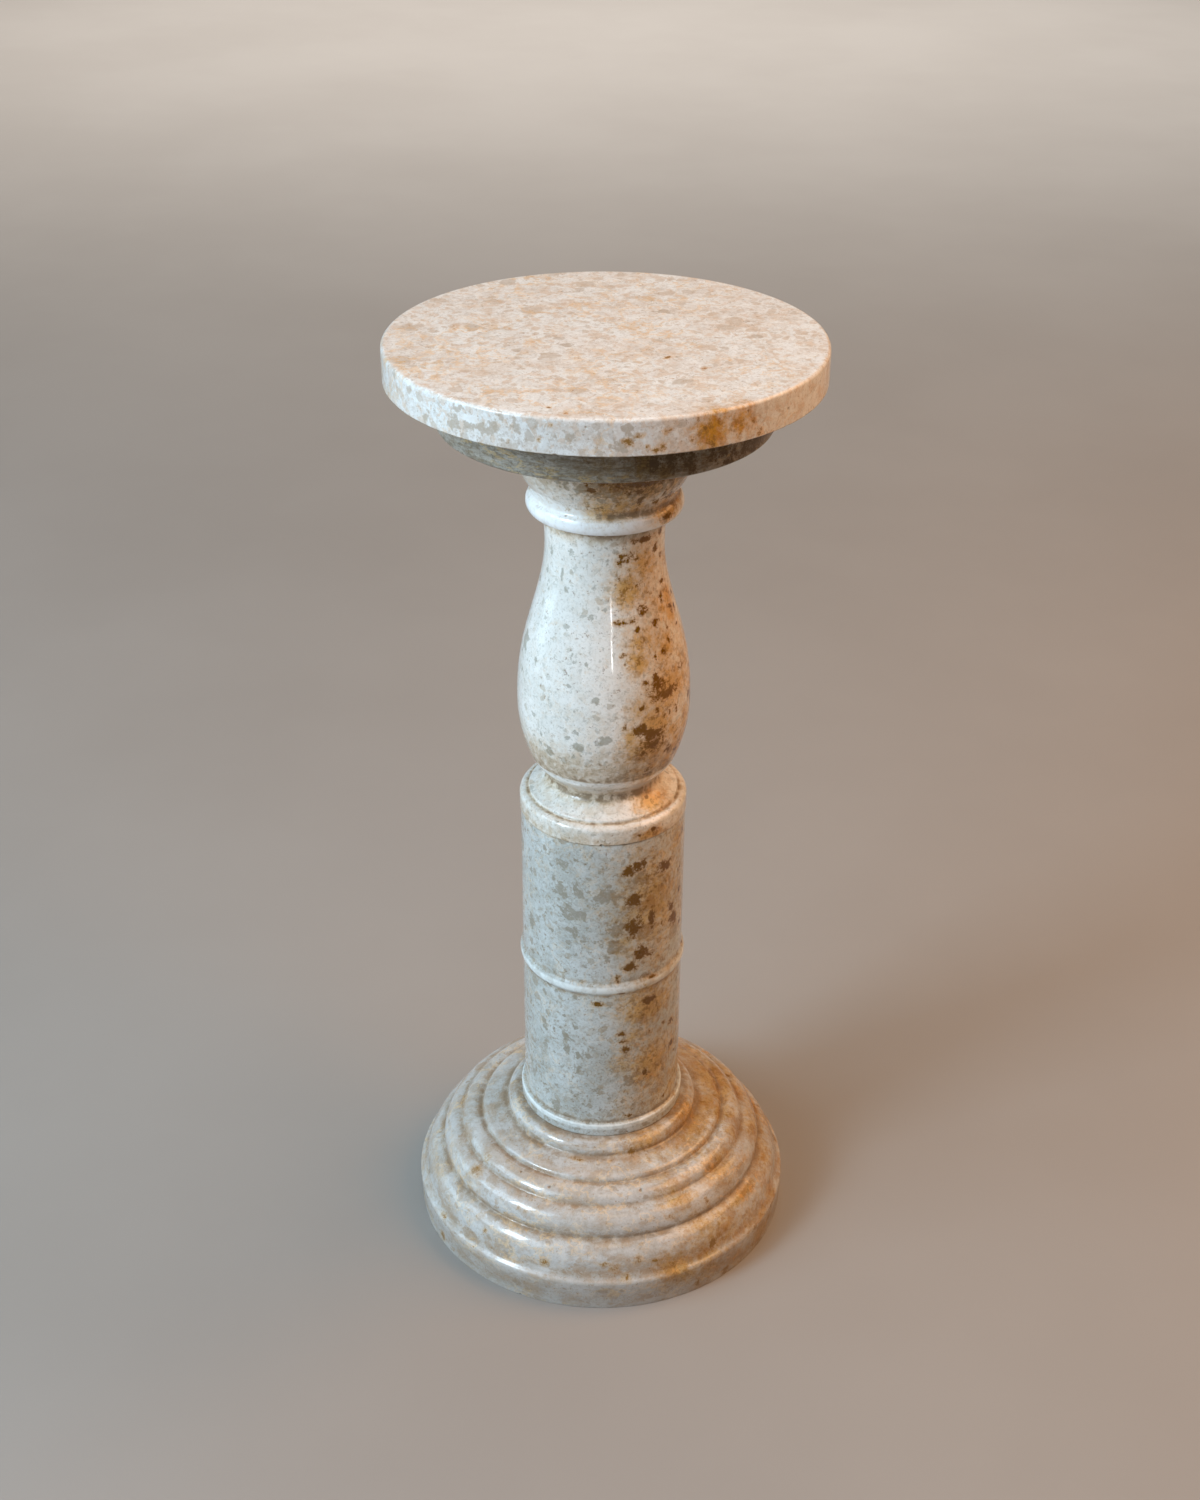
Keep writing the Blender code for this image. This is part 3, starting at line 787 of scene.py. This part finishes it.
SLAB_MARKS = [
    (GREY, 145, {"reach": 69}, 14, 10),
    (BROWN, 47, {"reach": 55}, 6, 3),
    (BROWN, 48, {"reach": 86}, 5, 3),
    (BROWN, -15, {"reach": 134}, 4, 3),
    (BROWN, -10, {"reach": 141}, 3, 2.4),
    (GREY, 93, {"reach": 101}, 13, 10),
    (GREY, -65, {"reach": 29}, 11, 9),
    (OCHRE, -102, {"reach": 104}, 18, 7, 0.3),
    (OCHRE, -107, {"reach": 69}, 11, 7, 0.3),
    (OCHRE, 26, {"height": 11}, 30, 36),
    (OCHRE, 34, {"height": 14}, 28, 30, 0.65),
    (OCHRE, 28, {"reach": 149}, 30, 8, 0.6),
    (BROWN, 12, {"height": 3.7}, 4.4, 3.4),
    (BROWN, -12.8, {"height": 19.5}, 2.4, 2.4),
    (BROWN, -15.8, {"height": 8.7}, 2.4, 2),
    (GREY, 5.2, {"height": 15.4}, 10, 12),
    (GREY, 3, {"height": 7.9}, 10, 8),
    (GREY, -39, {"height": 8}, 12, 12),
    (GREY, -28.5, {"height": 10}, 17, 12),
    (PALE, -34, {"height": 14}, 14, 10),
]
BALUSTER_MARKS = [
    (BROWN, 33, {"height": 88.0}, 23, 13),
    (BROWN, 25, {"height": 94.0}, 13, 11),
    (OCHRE, 47, {"height": 120}, 50, 46),
    (OCHRE, 36, {"height": 96}, 44, 44),
    (BROWN, 46, {"height": 117}, 28, 11),
    (BROWN, 38, {"height": 124}, 22, 16, 0.5),
    (BROWN, 37, {"height": 132}, 7, 7),
    (GREY, -39, {"height": 70.3}, 10, 9),
    (GREY, -16.5, {"height": 80.5}, 10, 11),
    (GREY, -17.2, {"height": 93.6}, 7, 6),
    (GREY, 0.8, {"height": 88.5}, 9, 8),
    (GREY, -5.2, {"height": 120}, 7, 6),
    (GREY, -42.8, {"height": 203}, 2.6, 11),
    (GREY, -76.5, {"height": 142.5}, 13, 22),
    (BROWN, 15, {"height": 221}, 5, 5),
    (BROWN, 27, {"height": 167.5}, 5, 6),
    (GREY, 33.8, {"height": 178.4}, 5, 6),
    (BROWN, 57, {"height": 183}, 5, 8),
    (OCHRE, 40, {"height": 212}, 40, 50, 0.6),
    # Capital under the disc: these broad ochre marks are partly staining, partly painted shade from the disc's
    # overhang.
    (OCHRE, 28, {"height": 277}, 44, 30),
    (OCHRE, 12, {"height": 285}, 60, 40),
    (OCHRE, 50, {"height": 285}, 60, 40),
    # Belly's underside: partly staining, partly painted shade.
    (OCHRE, 32, {"height": 78}, 50, 40),
    (BROWN, 34, {"height": 80}, 26, 14, 0.6),
    # Capital: these broad brown and grey marks are partly staining, partly painted shade from the disc's overhang.
    (BROWN, 22, {"height": 290}, 60, 26, 0.6),
    (GREY, 2, {"height": 285}, 70, 40, 0.55),
    (GREY, 50, {"height": 285}, 70, 40, 0.55),
    (BROWN, 25, {"height": 282}, 12, 12),
    (BROWN, 2, {"height": 290}, 26, 8),
    (BROWN, -8, {"height": 279}, 6, 5),
    # Painted light: pale marks on the ring's lit left side.
    (PALE, -70, {"height": 256}, 46, 12),
    (PALE, -42, {"height": 256}, 40, 12),
    (PALE, -18, {"height": 256}, 30, 9, 0.7),
    (OCHRE, 52, {"height": 250.6}, 40, 18),
    (BROWN, 50, {"height": 249}, 18, 4),
    # Painted shadow: the brown line under the ring.
    (BROWN, 40, {"height": 231}, 26, 5),
    (BROWN, 36, {"height": 7.2}, 6, 4.4),
    (BROWN, 25.5, {"height": 5.5}, 4, 3),
    (BROWN, 46, {"height": 23}, 4, 3),
    (OCHRE, 48, {"height": 20}, 40, 22),
    (OCHRE, 34, {"height": 4}, 30, 14),
]
DRUM_MARKS = [
    (BROWN, 18, {"height": 247.3}, 11, 11),
    (BROWN, 24.8, {"height": 252}, 15, 11),
    (BROWN, 47.2, {"height": 242.5}, 18, 12),
    (GREY, 27, {"height": 240}, 14, 13),
    (BROWN, 22.5, {"height": 220.8}, 16, 11),
    (BROWN, 36.7, {"height": 200.7}, 8, 14),
    (BROWN, 60, {"height": 188}, 12, 15),
    (BROWN, 21.8, {"height": 196.7}, 16, 14),
    (GREY, 10.5, {"height": 197.5}, 18, 13),
    (BROWN, 28.5, {"height": 171.8}, 13, 15),
    (BROWN, 20.2, {"height": 160.6}, 12, 10),
    (GREY, 8.2, {"height": 181.4}, 12, 18),
    (GREY, -27.8, {"height": 252}, 14, 8),
    (GREY, -30, {"height": 227}, 13, 18),
    (GREY, -16.5, {"height": 229.6}, 10, 8),
    (GREY, -20.2, {"height": 209.5}, 26, 13),
    (GREY, -24.8, {"height": 194.3}, 8, 5),
    (GREY, -36.7, {"height": 236}, 4, 5),
    (GREY, -60.8, {"height": 184}, 9, 13),
    (GREY, 3, {"height": 228}, 24, 15),
    (BROWN, -3, {"height": 128}, 9, 4),
    (GREY, -45.8, {"height": 96.6}, 7, 13),
    (GREY, -27.8, {"height": 93.4}, 7, 11),
    (BROWN, 33.8, {"height": 55}, 8, 8),
    (GREY, 20.2, {"height": 50.2}, 12, 12),
    (BROWN, 14, {"height": 98}, 7, 5),
    # Broad ochre fields on the right side: partly staining, partly painted warm light from the right.
    (OCHRE, 36, {"height": 118}, 60, 40),
    (BROWN, 36, {"height": 124}, 14, 8),
    (OCHRE, 38, {"height": 215}, 70, 110, 0.8),
    (OCHRE, 40, {"height": 60}, 50, 60),
    (GREY, -35.2, {"height": 19.7}, 8, 10),
    (GREY, -57, {"height": 43.8}, 4, 7),
    (GREY, -17.2, {"height": 76.6}, 6, 7),
    (GREY, -9.7, {"height": 78}, 7, 7),
]
BASE_MARKS = [
    # Broad ochre on the right and rear: partly staining, partly painted warm light from the right.
    (OCHRE, 108, {"height": 82.7}, 90, 50),
    (OCHRE, 56, {"height": 50.3}, 70, 12),
    (BROWN, 37.5, {"height": 34.6}, 9, 8),
    (BROWN, 78, {"height": 59.6}, 5, 5),
    (PALE, -12, {"height": 43}, 4, 18),
    (PALE, -17.3, {"height": 31}, 13, 4),
]

# Pits that show in a piece: azimuth, height above its foot, half width and depth
BASE_PITS = [(16.5, 80.8, 1.3, 0.6), (-21.8, 80.8, 1.2, 0.6), (-36.7, 82.1, 1.0, 0.5)]

SLAB_MARKS += swarm(BROWN, (4, 40), (1, 23), 16, (2.5, 6), 9)
SLAB_MARKS += swarm(GREY, (-90, 10), (1, 23), 18, (5, 13), 10)
# The collar's middle and right drawn browner: partly staining, partly painted shade under the slab.
COLLAR_MARKS = swarm(OCHRE, (-5, 130), (4, 28), 50, (16, 34), 13)
COLLAR_MARKS += swarm(BROWN, (10, 130), (2, 28), 50, (6, 22), 14)
# Broad ochre on the right side: partly staining, partly painted warm light from the right.
BALUSTER_MARKS += swarm(OCHRE, (20, 88), (55, 215), 40, (16, 38), 15)
BALUSTER_MARKS += swarm(BROWN, (12, 85), (96, 240), 40, (2.5, 9), 1)
# Capital: partly staining, partly painted shade under the disc.
BALUSTER_MARKS += swarm(OCHRE, (-8, 80), (256, 302), 40, (14, 30), 16)
BALUSTER_MARKS += swarm(BROWN, (-15, 80), (262, 302), 34, (3, 12), 3)
# Belly's underside: partly staining, partly painted shade.
BALUSTER_MARKS += swarm(OCHRE, (14, 85), (50, 92), 30, (16, 34), 17)
BALUSTER_MARKS += swarm(BROWN, (15, 80), (52, 84), 8, (4, 10), 18, 0.5)
BALUSTER_MARKS += swarm(GREY, (-75, 12), (60, 235), 44, (2, 8), 2, 0.5)
BALUSTER_MARKS += swarm(GREY, (90, 280), (4, 300), 60, (2.5, 9), 4)
# Broad ochre on the right side: partly staining, partly painted warm light from the right.
DRUM_MARKS += swarm(OCHRE, (14, 88), (10, 268), 50, (18, 40), 19, 0.6)
DRUM_MARKS += swarm(BROWN, (10, 85), (15, 265), 34, (3, 9), 5)
DRUM_MARKS += swarm(GREY, (-80, 12), (15, 265), 60, (2.5, 8), 6)
DRUM_MARKS += swarm(GREY, (100, 280), (10, 268), 60, (3, 12), 8)
DRUM_MARKS += swarm(BROWN, (90, 150), (15, 265), 20, (3, 8), 7)
# Broad ochre on the right and rear: partly staining, partly painted warm light from the right.
BASE_MARKS += swarm(OCHRE, (24, 170), (10, 98), 100, (22, 50), 11)
BASE_MARKS += swarm(BROWN, (-60, 120), (3, 95), 30, (3, 9), 12)

PIECES = [
    ("round_slab", "top_slab", "slab_stone", slab_outline, 600, 2.5 * MM, 0.8 * MM,
     dict(CREAM_STONE, seed=0.31, packing=0.13, blobs=0.6, blots=0.38, large=0.5, small=0.6, fleck=0.4, seams=0.35,
          grit=0.35, clouding=0.25, mottle_size=8.0, gloss=0.28, wear_and_sheen_strength=0.1),
     SLAB_MARKS, [], 18),
    ("carrying_disc", "collar_disc", "collar_stone", collar_outline, 440, FACE_STEP, 0.8 * MM,
     dict(SHADE_DARKENED_STONE, seed=1.7, packing=0.4, bedding=4.0, gloss=0.28), COLLAR_MARKS, [], 8),
    ("vase_baluster", "baluster", "baluster_stone", baluster_outline, 300, FACE_STEP, 1.0 * MM,
     dict(PALE_STONE, seed=2.9, packing=0.08, blobs=0.16, blots=0.4, large=0.0, small=0.2, seams=0.1, grit=0.28,
          soil_and_shade_strength=0.8, wear_and_sheen_strength=0.9), BALUSTER_MARKS, [], 8),
    ("plain_drum", "drum", "drum_stone", drum_outline, 360, FACE_STEP, 0.5 * MM,
     dict(GREY_STONE, seed=4.3, packing=0.14, blobs=0.36, blots=0.65, large=0.25, small=0.5, seams=0.15, grit=0.42,
          soil_and_shade_strength=0.5, wear_and_sheen_strength=1.0), DRUM_MARKS, [], 10),
    ("ringed_base", "base", "base_stone", base_outline, 420, FACE_STEP, 1.5 * MM,
     dict(BEIGE_STONE, seed=6.1, packing=0.16, blobs=0.35, blots=0.25, large=0.3, small=0.3, seams=0.3, bedding=1.6,
          grit=0.3, clouding=0.55, mottle_size=9.0, foot_darkening=0.6, soil_and_shade_strength=0.5, wear_and_sheen_strength=0.2),
     BASE_MARKS, BASE_PITS, 14),
]


def edge_chips(name, outline, dice):
    """Small chips: each is a place on an edge, the way the stone is cut away, half its length and its depth."""
    top, foot = outline[0][1], outline[-1][1]
    width = max(r for r, _, _ in outline)
    chips = []

    def chip(azimuth, radius, height, rise, half_length, depth):
        way = (radial(azimuth) + Vector((0, 0, rise))).normalized()
        chips.append((radial(azimuth) * radius + Vector((0, 0, height)), way, half_length * MM, depth * MM))

    if name == "round_slab":
        chip(-12, width, foot, -1, 2.2, 0.9)
        chip(31, width, top, 1, 3.0, 1.0)
        for _ in range(9):
            chip(dice.uniform(0, 360), width, foot, -1, dice.uniform(1.0, 2.4), dice.uniform(0.4, 0.9))
        for _ in range(5):
            chip(dice.uniform(0, 360), width, top, 1, dice.uniform(1.2, 2.6), dice.uniform(0.8, 1.1))
    if name == "vase_baluster":
        chip(-1, DRUM_RADIUS + PLATE_OVERHANG, foot, -1, 1.8, 1.1)
    if name == "plain_drum":
        chip(-1, DRUM_RADIUS, top, 1, 1.8, 1.0)
        for _ in range(4):
            chip(dice.uniform(60, 330), DRUM_RADIUS, top, 1, dice.uniform(0.8, 1.6), dice.uniform(0.4, 0.7))
    if name == "ringed_base":
        for _ in range(14):
            chip(dice.uniform(0, 360), width - PLINTH_BATTER, foot, -1, dice.uniform(1.5, 4.0),
                 dice.uniform(0.5, 1.2))
    return chips


def make_piece(name, node, slot, draw, sides, top_step, hollow, finish, marks, known_pits, pit_count):
    low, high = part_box(node)
    joints = [height for height in (low.z, high.z) if cad_box[0][2] < height < cad_box[1][2]]
    runs = [(high.z - start, reach, strength) for start, reach, strength in PAINTED_SHADE_RUNS.get(name, [])]
    outline = finished_outline(draw(high.x, low.z, high.z), hollow, joints, runs, top_step)
    stone = stone_material(slot + "_finish", **finish)
    piece = turned_piece(name, outline, sides, UNEVENNESS, stone, finish["seed"])
    dice = random.Random(name)
    pits = [(centre, dice.uniform(0.6, 1.3) * MM, dice.uniform(0.3, 0.6) * MM)
            for centre in scattered(piece.data, pit_count, dice)]
    pits += [(on_surface(outline, azimuth, low.z + height * MM), size * MM, depth * MM)
             for azimuth, height, size, depth in known_pits]
    carved(piece.data, pits, edge_chips(name, outline, dice))
    marked(piece.data, outline, placed(marks, low.z))
    piece.data.shade_smooth()
    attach(piece, "root")
    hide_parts(node)
    return piece


for row in PIECES:
    make_piece(*row)


# Floor, light and camera

def floor():
    material = bpy.data.materials.new("pale_floor")
    material.use_nodes = True
    material.node_tree.nodes.clear()
    r = Recipe(material.node_tree)
    here = r.node("ShaderNodeTexCoord", None, None, "Object")
    shade = r.between(r.cloud(here, 0.6, 4, 0.6, 1), 0.3, 0.7)
    colour = r.mixed(shade, (0.34, 0.315, 0.29, 1.0), (0.32, 0.295, 0.27, 1.0))
    shader = r.node("ShaderNodeBsdfPrincipled", None, {"Base Color": colour, "Roughness": 0.8})
    r.node("ShaderNodeOutputMaterial", None, {"Surface": shader})
    mesh = bpy.data.meshes.new("floor")
    half = 9.0
    corners = [(-half, -half, -0.0001), (half, -half, -0.0001), (half, half, -0.0001), (-half, half, -0.0001)]
    mesh.from_pydata(corners, [], [(0, 1, 2, 3)])
    mesh.materials.append(material)
    ground = bpy.data.objects.new("floor", mesh)
    bpy.context.scene.collection.objects.link(ground)


def softbox(name, azimuth, elevation, distance, wide, tall, power, colour, aim, spread=180):
    lamp = bpy.data.lights.new(name, "AREA")
    lamp.shape = "RECTANGLE"
    lamp.size, lamp.size_y = wide, tall
    lamp.energy = power
    lamp.color = colour
    lamp.spread = math.radians(spread)
    light = bpy.data.objects.new(name, lamp)
    bpy.context.scene.collection.objects.link(light)
    level, rise = math.cos(math.radians(elevation)), math.sin(math.radians(elevation))
    back = radial(azimuth) * level + Vector((0, 0, rise))
    light.location = Vector(aim) + back * distance
    light.rotation_euler = back.to_track_quat("Z", "Y").to_euler()


floor()
softbox("cool_key", -57, 29, 3.0, 0.75, 0.80, 46, (0.65, 0.84, 1.0), (0, 0, 0.45))
softbox("cool_fill", -64, 30, 3.4, 3.2, 1.8, 88, (0.65, 0.84, 1.0), (0, 0, 0.45))
softbox("low_fill", -100, 2, 2.2, 1.0, 0.8, 6, (0.60, 0.85, 1.0), (0, 0, 0.45))
softbox("warm_side", 90, 46, 2.3, 2.4, 1.4, 46, (1.0, 0.53, 0.23), (0, 0, 0.40))
softbox("overhead", 150, 74, 1.9, 1.2, 1.2, 11, (0.72, 0.92, 1.0), (0, 0, 0.60))
softbox("front_top", 12, 60, 2.4, 0.6, 0.6, 3, (1.0, 0.72, 0.45), (0, 0, 0.40))
softbox("strip", 11, 1.5, 2.6, 0.05, 0.36, 0.021, (1.0, 1.0, 1.0), (0, 0, 0.50), 16)
softbox("backdrop", 180, 90, 3.4, 6.0, 4.0, 160, (1.0, 0.96, 0.92), (0, 5.2, 0), 100)

world = bpy.data.worlds.new("studio")
world.use_nodes = True
world.node_tree.nodes["Background"].inputs["Color"].default_value = (0.80, 0.72, 0.65, 1.0)
world.node_tree.nodes["Background"].inputs["Strength"].default_value = 0.14
scene = bpy.context.scene
scene.world = world
scene.view_settings.view_transform = "Standard"

CAMERA_PLACE = (-0.0025, -1.319, 1.187)
CAMERA_PITCH = 30.21
CAMERA_ROLL = 0.28
LENS = 49.18

lens = bpy.data.cameras.new("camera")
lens.lens = LENS
lens.sensor_width = 36.0
camera = bpy.data.objects.new("camera", lens)
scene.collection.objects.link(camera)
tilt = Matrix.Rotation(math.radians(90 - CAMERA_PITCH), 4, "X")
roll = Matrix.Rotation(math.radians(CAMERA_ROLL), 4, "Z")
camera.matrix_world = Matrix.Translation(CAMERA_PLACE) @ tilt @ roll
scene.camera = camera
